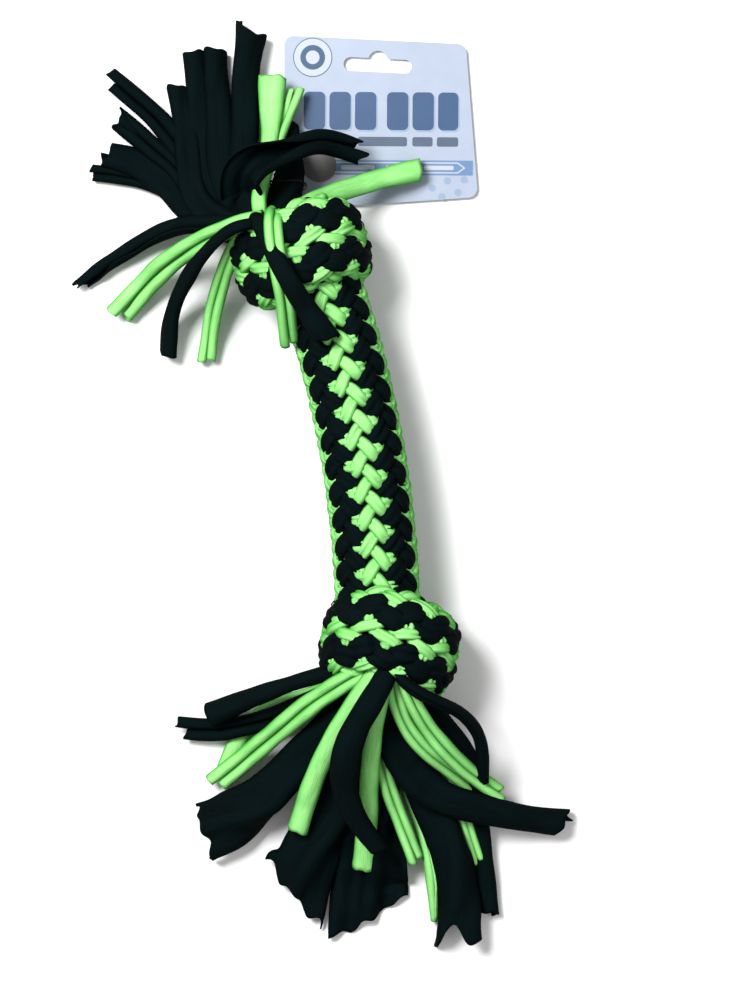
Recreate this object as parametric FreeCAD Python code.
import FreeCAD, Part
import math
import os

# A tug rope braided from stretchy jersey strips. Two knots close a round braided shaft, and
# the strips end in a loose tassel beyond each knot. A header card is tied to the upper knot.
# Millimetres, +Z up. The rope lies on the plane z = 0. The origin is on that plane, under the
# middle of the lower knot, and +Y points at the upper knot.

V = FreeCAD.Vector

# ---- driving dimensions ------------------------------------------------------------------
KNOT_SPACING = 185.5        # between the middles of the two knots
ROPE_HEIGHT = 30.0          # the rope's middle line above the floor
SHAFT_RADIUS = 20.0         # outside of the braid
SHAFT_TOP = V(4.2, 168.9, ROPE_HEIGHT)      # the middle line is an arc through these three
SHAFT_MIDDLE = V(7.1, 94.0, ROPE_HEIGHT)
SHAFT_BOTTOM = V(-1.6, 19.0, ROPE_HEIGHT)

STRANDS_PER_HAND = 8        # eight right-hand strands cross eight left-hand ones
BRAID_PITCH = 50.0          # shaft length in which a strand goes round once
STRAND_RADIUS = 2.2
WEAVE_RISE = 1.3            # a strand rides this far out over, or in under, the middle radius
UPPER_STRAND_GAP = 6.0      # shaft left bare below the upper knot, so that it can turn

CORE_RADIUS = 12.0
CORE_POINTS = 5             # of the route along each half of the shaft
CORE_LEAD = 10.0            # the route leaves the shaft's arc this far before its end
CORE_BEND_DEG = 21.0        # each half of the core is cut back this far for the shaft's bend
CORE_END_GAP = 0.3          # between the two halves, on the bend's axis

KNOT_RADIUS = 32.0
KNOT_CORNER = 12.0          # rounding of the wrapped turn's edges
KNOT_BORE_GAP = 0.3
LOWER_KNOT_LENGTH = 41.0
LOWER_KNOT_TURN_DEG = -24.6     # the wrapped turn's axis, turned about +Z from +Y
UPPER_KNOT_LENGTH = 38.0
UPPER_KNOT_TURN_DEG = 10.0

LOWER_CORE_TAIL = [V(-4.0, 2.0, 33.0), V(-8.0, -15.0, 38.0)]
UPPER_CORE_TAIL = [V(-1.0, 187.0, 34.0), V(-8.0, 204.0, 39.0)]

CARD_CORNERS = [(13.7, 287.9), (96.0, 265.2), (85.9, 193.9), (-3.8, 207.8)]
CARD_CORNER_RADIUS = 4.5
CARD_THICKNESS = 0.6
CARD_HEIGHT = 1.9           # underside of the card above the floor
CARD_TURN_DEG = -15.5       # the card's top edge, turned about +Z from +X
HANG_SLOT_AT = (53.5, 264.6)
HANG_SLOT_WIDTH = 32.0
HANG_SLOT_HEIGHT = 6.4
HANG_SLOT_BUMP_RADIUS = 4.6
HANG_SLOT_BUMP_RISE = 2.2
TIE_HOLE_AT = (6.5, 217.0)
TIE_HOLE_RADIUS = 2.25
TIE_WIRE_RADIUS = 0.5
TIE_REACH = 14.5            # across the loop, square to the card's left edge
TIE_BOTTOM = 0.8
TIE_TOP = 27.5
TIE_CORNER = 3.0

ARC_SHARE = 0.45            # of the shorter run, taken by each tangent arc
LEAST_BEND = 2.8            # tightest bend of a limp strip, in its diameters
LONGEST_RUN_RATIO = 2.0

# ---- strips of the two tassels -------------------------------------------------------------
# Each strip's diameter, then its route from inside the knot to its cut end.
UPPER_TAILS = {
    "upper_tail_green_1": (10.0, [
        (-13.5, 202, 48), (-25.5, 202.5, 44), (-39, 200.5, 34), (-49.5, 198.5, 26),
        (-61.5, 195, 17), (-72.5, 189, 10), (-82.5, 182.5, 6), (-90.5, 177, 5)]),
    "upper_tail_green_2": (8.0, [
        (-22, 199, 44), (-29.5, 193.5, 38), (-37, 184, 27), (-44, 173, 16), (-50, 160, 8),
        (-55, 147, 5)]),
    "upper_tail_green_3": (7.0, [
        (-9, 206.5, 56.5), (-12, 194, 62.5), (-13, 180, 64), (-12, 167, 59), (-13, 155, 50),
        (-15, 145, 39)]),
    "upper_tail_green_4": (9.0, [
        (-1.5, 201, 48), (8, 205, 41), (19, 208, 30), (33, 210, 20), (47, 212, 12), (62, 212, 8)]),
    "upper_tail_green_5": (11.0, [
        (-14, 214, 41), (-10, 222, 34), (-6, 232, 27), (-3, 241, 21), (0.5, 255, 14.5),
        (3.5, 269, 10)]),
    "upper_tail_green_6": (7.0, [
        (-14.5, 208.5, 34), (-12, 216.5, 29), (-8, 224.5, 24), (-3, 233.5, 20), (2.5, 242, 16),
        (8.5, 252, 12), (14, 261, 9)]),
    "upper_tail_black_1": (9.0, [
        (-22, 201, 54), (-31.5, 200, 49), (-43, 194, 39), (-54, 186, 27), (-63, 176, 16),
        (-69, 165, 9), (-72, 154, 5)]),
    "upper_tail_black_2": (7.0, [
        (-19.5, 202.5, 32), (-34.5, 205.5, 27), (-47.5, 209.5, 18), (-59, 210, 11), (-70, 208, 7),
        (-83, 203.5, 5), (-96, 199, 4), (-105.5, 194.5, 4)]),
    "upper_tail_black_3": (9.0, [
        (-17, 204, 54), (-15, 195, 61.5), (-12.5, 184, 66), (-9, 171, 67), (-3.5, 156, 61.5),
        (3, 142, 56)]),
    "upper_tail_black_4": (9.0, [
        (-13.5, 225, 41.5), (-4, 228.5, 40), (7, 232, 34.5), (18.5, 233, 26.5), (28, 230.5, 19.5),
        (35.5, 225.5, 14)]),
    "upper_tail_black_5": (11.0, [
        (-17.5, 205, 32), (-19.5, 217.5, 27), (-18, 231.5, 20), (-14, 246, 15), (-11, 260, 12),
        (-6.5, 277.5, 10), (0, 293.5, 9)]),
    "upper_tail_black_6": (10.0, [
        (-18.5, 204, 28), (-26, 216, 22), (-28.5, 231, 16), (-26.5, 245.5, 11), (-23, 263.5, 8),
        (-21.5, 276.5, 7), (-19, 287.5, 6)]),
    "upper_tail_black_7": (9.0, [
        (-19.5, 204, 24), (-32, 213, 18.5), (-37.5, 228, 13), (-36, 244, 9), (-32.5, 262, 7),
        (-30.5, 276.5, 6), (-29.5, 289, 5)]),
    "upper_tail_black_8": (8.0, [
        (-20.5, 203, 30), (-35, 209.5, 23), (-44, 222.5, 15), (-43, 238.5, 10), (-40.5, 254, 7),
        (-40, 264.5, 5), (-40, 275, 4)]),
    "upper_tail_black_9": (9.0, [
        (-21, 204, 21), (-35, 212, 15), (-42, 227, 10), (-44.5, 244, 8), (-50, 258, 6),
        (-59.5, 272.5, 5), (-69.5, 285, 5)]),
    "upper_tail_black_10": (8.0, [
        (-21, 203.5, 27), (-35, 210, 18), (-45, 224, 12), (-49.5, 237.5, 9), (-57, 247.5, 6),
        (-65, 258.5, 5), (-71, 266, 5)]),
    "upper_tail_black_11": (11.0, [
        (-21.5, 203.5, 20), (-35, 207.5, 15.5), (-46.5, 217.5, 11), (-53, 231, 8),
        (-62.5, 241, 6.5), (-71.5, 247.5, 6), (-80, 251.5, 6)]),
    "upper_tail_black_12": (8.0, [
        (-21.5, 203, 17), (-35, 206, 12.5), (-47, 214.5, 8), (-53.5, 226.5, 6), (-63, 234.5, 5),
        (-75.5, 240.5, 4), (-88, 244.5, 4)]),
    "upper_tail_black_13": (9.0, [
        (-12, 200.5, 34), (-5.5, 208, 28), (0.5, 216.5, 22), (3, 225, 18), (4.5, 236, 13),
        (6.5, 246.5, 9)]),
}
LOWER_TAILS = {
    "lower_tail_green_1": (8.0, [
        (-13.5, -12, 20), (-29, -15, 13.5), (-46, -17, 9), (-61, -18.5, 7), (-72, -23, 6),
        (-81.5, -31.5, 4.5), (-88.5, -42, 4)]),
    "lower_tail_green_2": (10.0, [
        (-10.5, -8, 51), (-23.5, -11.5, 46), (-39, -18, 36), (-55, -26, 25), (-69, -34, 15),
        (-82, -41, 8), (-94, -47, 6)]),
    "lower_tail_green_3": (9.0, [
        (-7, -9, 54), (-18, -18.5, 51), (-29, -29.5, 45), (-39, -41, 38), (-47.5, -53, 31),
        (-54.5, -64.5, 25), (-61, -76, 19)]),
    "lower_tail_green_4": (9.0, [
        (-4.5, -13.5, 52), (-12, -27, 48), (-19, -46, 38), (-24.5, -65, 27), (-29.5, -83, 17),
        (-35, -101, 10)]),
    "lower_tail_green_5": (8.0, [
        (-14.5, -32, 28), (-16, -49.5, 26), (-15.5, -67.5, 22), (-12.5, -85.5, 17),
        (-10.5, -102.5, 11)]),
    "lower_tail_green_6": (6.0, [
        (-8.5, -60, 7), (-5.5, -76.5, 7), (-3, -94, 9), (-4.5, -113.5, 8), (-8, -132.5, 5)]),
    "lower_tail_green_7": (8.0, [
        (-2.5, -14, 50), (-3, -26, 46), (-1, -39, 40), (4, -50, 34), (11, -59.5, 26),
        (19, -69.5, 17), (25.5, -77.5, 12)]),
    "lower_tail_green_8": (8.0, [
        (2.5, -16.5, 50), (4.5, -29.5, 46), (9.5, -44, 38), (16.5, -57.5, 30), (25, -70, 21.5),
        (35, -81, 15)]),
    "lower_tail_green_9": (7.0, [
        (9.5, -64.5, 13), (14, -76, 13), (16, -88.5, 13), (17, -99.5, 11), (18, -109.5, 8)]),
    "lower_tail_black_1": (9.0, [
        (-7, -6, 42), (-22.5, -6, 40), (-41, -7.5, 31), (-58.5, -9.5, 22), (-74, -12, 15),
        (-89, -15, 10)]),
    "lower_tail_black_2": (9.0, [
        (-10, -8.5, 30), (-27.5, -15, 23), (-46.5, -20, 16), (-62, -23.5, 11), (-76.5, -24, 8),
        (-91, -23, 6), (-104, -18.5, 5)]),
    "lower_tail_black_3": (14.0, [
        (-9.5, -12, 34), (-25, -24.5, 29), (-42.5, -37.5, 23), (-61, -50, 17), (-78.5, -60.5, 12),
        (-93, -65.5, 9), (-105, -68, 8)]),
    "lower_tail_black_4": (14.0, [
        (-8.5, -16.5, 30), (-21, -36.5, 23.5), (-34.5, -57, 17), (-48, -75.5, 12),
        (-60.5, -91.5, 10), (-70.5, -107, 9)]),
    "lower_tail_black_5": (10.0, [
        (-4.5, -13, 57), (-14, -23, 58), (-24, -33.5, 53), (-31, -45.5, 48), (-35.5, -60.5, 41),
        (-32.5, -77.5, 34.5), (-25.5, -92.5, 29)]),
    "lower_tail_black_6": (14.0, [
        (-3, -21.5, 30), (-2, -48, 24.5), (1.5, -74.5, 18), (5.5, -98, 13), (5.5, -122, 10),
        (-0.5, -145, 8)]),
    "lower_tail_black_7": (7.0, [
        (0, -14.5, 56), (7.5, -23.5, 56), (16.5, -30.5, 51), (25.5, -38, 43), (31, -49, 34),
        (30.5, -61, 26), (27.5, -73, 20)]),
    "lower_tail_black_8": (12.0, [
        (-5.5, -22, 32), (-8, -41.5, 29.5), (-4.5, -61, 27), (8, -76.5, 25), (29.5, -87.5, 19),
        (45, -95.5, 12), (61, -101, 7)]),
    "lower_tail_black_9": (9.0, [
        (6, -18, 40), (12.5, -34.5, 33), (21, -50.5, 25), (25, -65, 18), (24, -81, 12),
        (21.5, -99.5, 8), (19.5, -117.5, 6), (17.5, -134.5, 5)]),
    "lower_tail_black_10": (14.0, [
        (-7, -22.5, 24), (-14.5, -42, 18.5), (-22, -63, 13), (-28, -84, 10), (-33, -105.5, 8),
        (-38.5, -125.5, 7)]),
}


# ---- helpers -----------------------------------------------------------------------------
def save(name, shape):
    """Writes one part, after a look at its validity."""
    if not shape.isValid():
        print("NOT VALID:", name)
    shape.exportStep(os.path.join("parts", name + ".step"))


def run_lengths(points):
    return [a.distanceToPoint(b) for a, b in zip(points, points[1:])]


def corner_arcs(points):
    """For each inner point of a route: its corner, two directions, arc radius and half turn."""
    arcs = []
    for before, at, after in zip(points, points[1:], points[2:]):
        arriving = (at - before).normalize()
        leaving = (after - at).normalize()
        half_turn = arriving.getAngle(leaving) / 2
        shorter = min(before.distanceToPoint(at), at.distanceToPoint(after))
        arcs.append((at, arriving, leaving, ARC_SHARE * shorter / math.tan(half_turn), half_turn))
    return arcs


def path_edges(points):
    """Straight runs joined by tangent arcs."""
    edges = []
    last = points[0]
    for at, arriving, leaving, radius, half_turn in corner_arcs(points):
        reach = radius * math.tan(half_turn)
        start = at - arriving * reach
        end = at + leaving * reach
        inward = (leaving - arriving).normalize()
        middle = at + inward * (radius / math.cos(half_turn) - radius)
        edges.append(Part.makeLine(last, start))
        edges.append(Part.Arc(start, middle, end).toShape())
        last = end
    edges.append(Part.makeLine(last, points[-1]))
    return edges


def tube(points, radius):
    """A round bar along a route."""
    path = Part.Wire(path_edges(points))
    section = Part.Face(Part.Wire(Part.makeCircle(radius, points[0], points[1] - points[0])))
    return path.makePipe(section), path.Length


def report_route(name, diameter, points, solid, length):
    """Prints a strip's bends and lengths, and says what breaks the rules for a limp strip."""
    radii = [arc[3] for arc in corner_arcs(points)]
    runs = run_lengths(points)
    ratio = max(max(a, b) / min(a, b) for a, b in zip(runs, runs[1:]))
    share = solid.Volume / (math.pi * diameter * diameter / 4 * length)
    faults = []
    if min(radii) < LEAST_BEND * diameter:
        faults.append("tight")
    if ratio > LONGEST_RUN_RATIO:
        faults.append("uneven runs")
    if abs(share - 1) > 0.01:
        faults.append("volume")
    print(name, "length %.0f" % length, "radii", [round(r) for r in radii],
          "volume share %.4f" % share, " ".join(faults))


# ---- the shaft's middle line ---------------------------------------------------------------
SHAFT_ARC = Part.Arc(SHAFT_TOP, SHAFT_MIDDLE, SHAFT_BOTTOM)
SHAFT_LENGTH = SHAFT_ARC.length()
BEND_AT = SHAFT_ARC.value(SHAFT_ARC.parameterAtDistance(SHAFT_LENGTH / 2, SHAFT_ARC.FirstParameter))


def on_shaft(distance):
    """The middle line's point this far down from the upper knot, and the way to its right."""
    parameter = SHAFT_ARC.parameterAtDistance(distance, SHAFT_ARC.FirstParameter)
    along = V(*SHAFT_ARC.tangent(parameter)[0])
    right = V(-along.y, along.x, 0).normalize()
    return SHAFT_ARC.value(parameter), right


# ---- braid ---------------------------------------------------------------------------------
def rides_over(hand, green, column):
    """Whether a strand lies on the outside where it meets the other hand in this column."""
    over_columns = {(1, True): (1, 2), (1, False): (3, 0), (-1, True): (1, 0), (-1, False): (3, 2)}
    return column % 4 in over_columns[hand, green]


def strand(hand, number):
    """One strand of the braid: over two, under two, round the shaft's middle line."""
    green = number % 2 == 0
    middle_radius = SHAFT_RADIUS - WEAVE_RISE - STRAND_RADIUS
    columns = 2 * STRANDS_PER_HAND
    points = []
    for column in range(-8 * columns, 8 * columns):
        distance = hand * BRAID_PITCH * (column / columns - number / STRANDS_PER_HAND)
        if not UPPER_STRAND_GAP <= distance <= SHAFT_LENGTH:
            continue
        middle, right = on_shaft(distance)
        angle = math.pi * (column - 1) / STRANDS_PER_HAND
        rise = WEAVE_RISE if rides_over(hand, green, column) else -WEAVE_RISE
        outward = right * math.sin(angle) + V(0, 0, math.cos(angle))
        points.append(middle + outward * (middle_radius + rise))
    return tube(points, STRAND_RADIUS)[0]


def make_strands():
    hands = {"right_hand": 1, "left_hand": -1}
    for hand_name, hand in hands.items():
        for number in range(STRANDS_PER_HAND):
            colour = "green" if number % 2 == 0 else "black"
            name = "shaft_strand_%s_%s_%d" % (hand_name, colour, number // 2 + 1)
            save(name, strand(hand, number))


# ---- core and knots ------------------------------------------------------------------------
def core_path(upper):
    """The rope's middle from the bend to the knot's mouth."""
    reach = SHAFT_LENGTH / 2 - CORE_LEAD
    steps = [reach * i / (CORE_POINTS - 1) for i in range(CORE_POINTS)]
    sign = -1 if upper else 1
    along_shaft = [on_shaft(SHAFT_LENGTH / 2 + sign * step)[0] for step in steps]
    return along_shaft + (UPPER_CORE_TAIL if upper else LOWER_CORE_TAIL)


def core_half(upper):
    """Half of the rope's core, cut to a roof shape at the bend so that it can turn both ways."""
    solid = tube(core_path(upper), CORE_RADIUS)[0]
    reach = 3 * CORE_RADIUS
    along = (core_path(upper)[1] - BEND_AT).normalize()
    for side in (-1, 1):
        cutter = Part.makeBox(2 * reach, reach, 2 * reach, V(-reach, -reach + CORE_END_GAP / 2, -reach))
        cutter.rotate(V(0, 0, 0), V(0, 0, 1), side * CORE_BEND_DEG)
        heading = math.degrees(math.atan2(along.y, along.x)) - 90
        cutter.rotate(V(0, 0, 0), V(0, 0, 1), heading)
        cutter.translate(BEND_AT)
        solid = solid.cut(cutter)
    return solid


def knot_middle(upper):
    return V(0, KNOT_SPACING if upper else 0, ROPE_HEIGHT)


def knot_wrap(upper):
    """The turn that the rope takes round itself: a thick rounded ring with a flat foot."""
    length = UPPER_KNOT_LENGTH if upper else LOWER_KNOT_LENGTH
    turn = UPPER_KNOT_TURN_DEG if upper else LOWER_KNOT_TURN_DEG
    half = length / 2
    edge = KNOT_RADIUS - KNOT_CORNER
    dip = KNOT_CORNER * math.sqrt(0.5)
    flat = half - KNOT_CORNER
    outline = [
        Part.makeLine(V(0, -half, 0), V(edge, -half, 0)),
        Part.Arc(V(edge, -half, 0), V(edge + dip, -flat - dip, 0), V(KNOT_RADIUS, -flat, 0)).toShape(),
        Part.makeLine(V(KNOT_RADIUS, -flat, 0), V(KNOT_RADIUS, flat, 0)),
        Part.Arc(V(KNOT_RADIUS, flat, 0), V(edge + dip, flat + dip, 0), V(edge, half, 0)).toShape(),
        Part.makeLine(V(edge, half, 0), V(0, half, 0)),
        Part.makeLine(V(0, half, 0), V(0, -half, 0)),
    ]
    drum = Part.Face(Part.Wire(outline)).revolve(V(0, 0, 0), V(0, 1, 0), 360)
    drum.rotate(V(0, 0, 0), V(0, 0, 1), turn)
    drum.translate(knot_middle(upper))
    side = 4 * KNOT_RADIUS
    floor = Part.makeBox(side, side, side, knot_middle(upper) - V(side / 2, side / 2, side + ROPE_HEIGHT))
    bore = tube(core_path(upper), CORE_RADIUS + KNOT_BORE_GAP)[0]
    return drum.cut(floor).cut(bore)


# ---- header card and its tie -----------------------------------------------------------------
def rounded_outline(corners, radius):
    """A closed wire through the corners, each rounded to the same radius."""
    count = len(corners)
    edges = []
    starts = []
    for i, at in enumerate(corners):
        arriving = (at - corners[i - 1]).normalize()
        leaving = (corners[(i + 1) % count] - at).normalize()
        half_turn = arriving.getAngle(leaving) / 2
        reach = radius * math.tan(half_turn)
        inward = (leaving - arriving).normalize()
        middle = at + inward * (radius / math.cos(half_turn) - radius)
        starts.append((at - arriving * reach, middle, at + leaving * reach))
    for i, (start, middle, end) in enumerate(starts):
        edges.append(Part.Arc(start, middle, end).toShape())
        edges.append(Part.makeLine(end, starts[(i + 1) % count][0]))
    return Part.Wire(edges)


def header_card():
    corners = [V(x, y, CARD_HEIGHT) for x, y in CARD_CORNERS]
    card = Part.Face(rounded_outline(corners, CARD_CORNER_RADIUS)).extrude(V(0, 0, CARD_THICKNESS))
    depth = 4 * CARD_THICKNESS
    end = HANG_SLOT_HEIGHT / 2
    straight = HANG_SLOT_WIDTH / 2 - end
    slot = Part.makeBox(2 * straight, 2 * end, depth, V(-straight, -end, 0))
    slot = slot.fuse([
        Part.makeCylinder(end, depth, V(-straight, 0, 0)),
        Part.makeCylinder(end, depth, V(straight, 0, 0)),
        Part.makeCylinder(HANG_SLOT_BUMP_RADIUS, depth, V(0, HANG_SLOT_BUMP_RISE, 0)),
    ])
    slot.rotate(V(0, 0, 0), V(0, 0, 1), CARD_TURN_DEG)
    slot.translate(V(*HANG_SLOT_AT, CARD_HEIGHT - CARD_THICKNESS))
    hole = Part.makeCylinder(TIE_HOLE_RADIUS, depth, V(*TIE_HOLE_AT, CARD_HEIGHT - CARD_THICKNESS))
    return card.cut(slot).cut(hole)


def card_tie():
    """A closed wire loop through the card's corner hole and round the strips above it."""
    edge = (V(*CARD_CORNERS[0], 0) - V(*CARD_CORNERS[3], 0)).normalize()
    outward = V(-edge.y, edge.x, 0)
    hole = V(*TIE_HOLE_AT, 0)
    far = hole + outward * TIE_REACH
    corners = [hole + V(0, 0, TIE_BOTTOM), hole + V(0, 0, TIE_TOP),
               far + V(0, 0, TIE_TOP), far + V(0, 0, TIE_BOTTOM)]
    middle = (corners[0] + corners[1]) * 0.5
    loop = rounded_outline(corners, TIE_CORNER)
    section = Part.Wire(Part.makeCircle(TIE_WIRE_RADIUS, middle, V(0, 0, 1)))
    sweep = Part.BRepOffsetAPI.MakePipeShell(loop)
    sweep.add(section)
    sweep.build()
    sweep.makeSolid()
    return sweep.shape()


# ---- build ---------------------------------------------------------------------------------
def make_tails():
    for name, (diameter, route) in {**UPPER_TAILS, **LOWER_TAILS}.items():
        points = [V(*p) for p in route]
        solid, length = tube(points, diameter / 2)
        report_route(name, diameter, points, solid, length)
        save(name, solid)


def main():
    os.makedirs("parts", exist_ok=True)
    print("shaft length %.1f" % SHAFT_LENGTH, "bend at", BEND_AT)
    make_strands()
    for upper, end in ((False, "lower"), (True, "upper")):
        save(end + "_shaft_core", core_half(upper))
        save(end + "_knot_wrap", knot_wrap(upper))
    save("header_card", header_card())
    save("card_tie", card_tie())
    make_tails()


main()
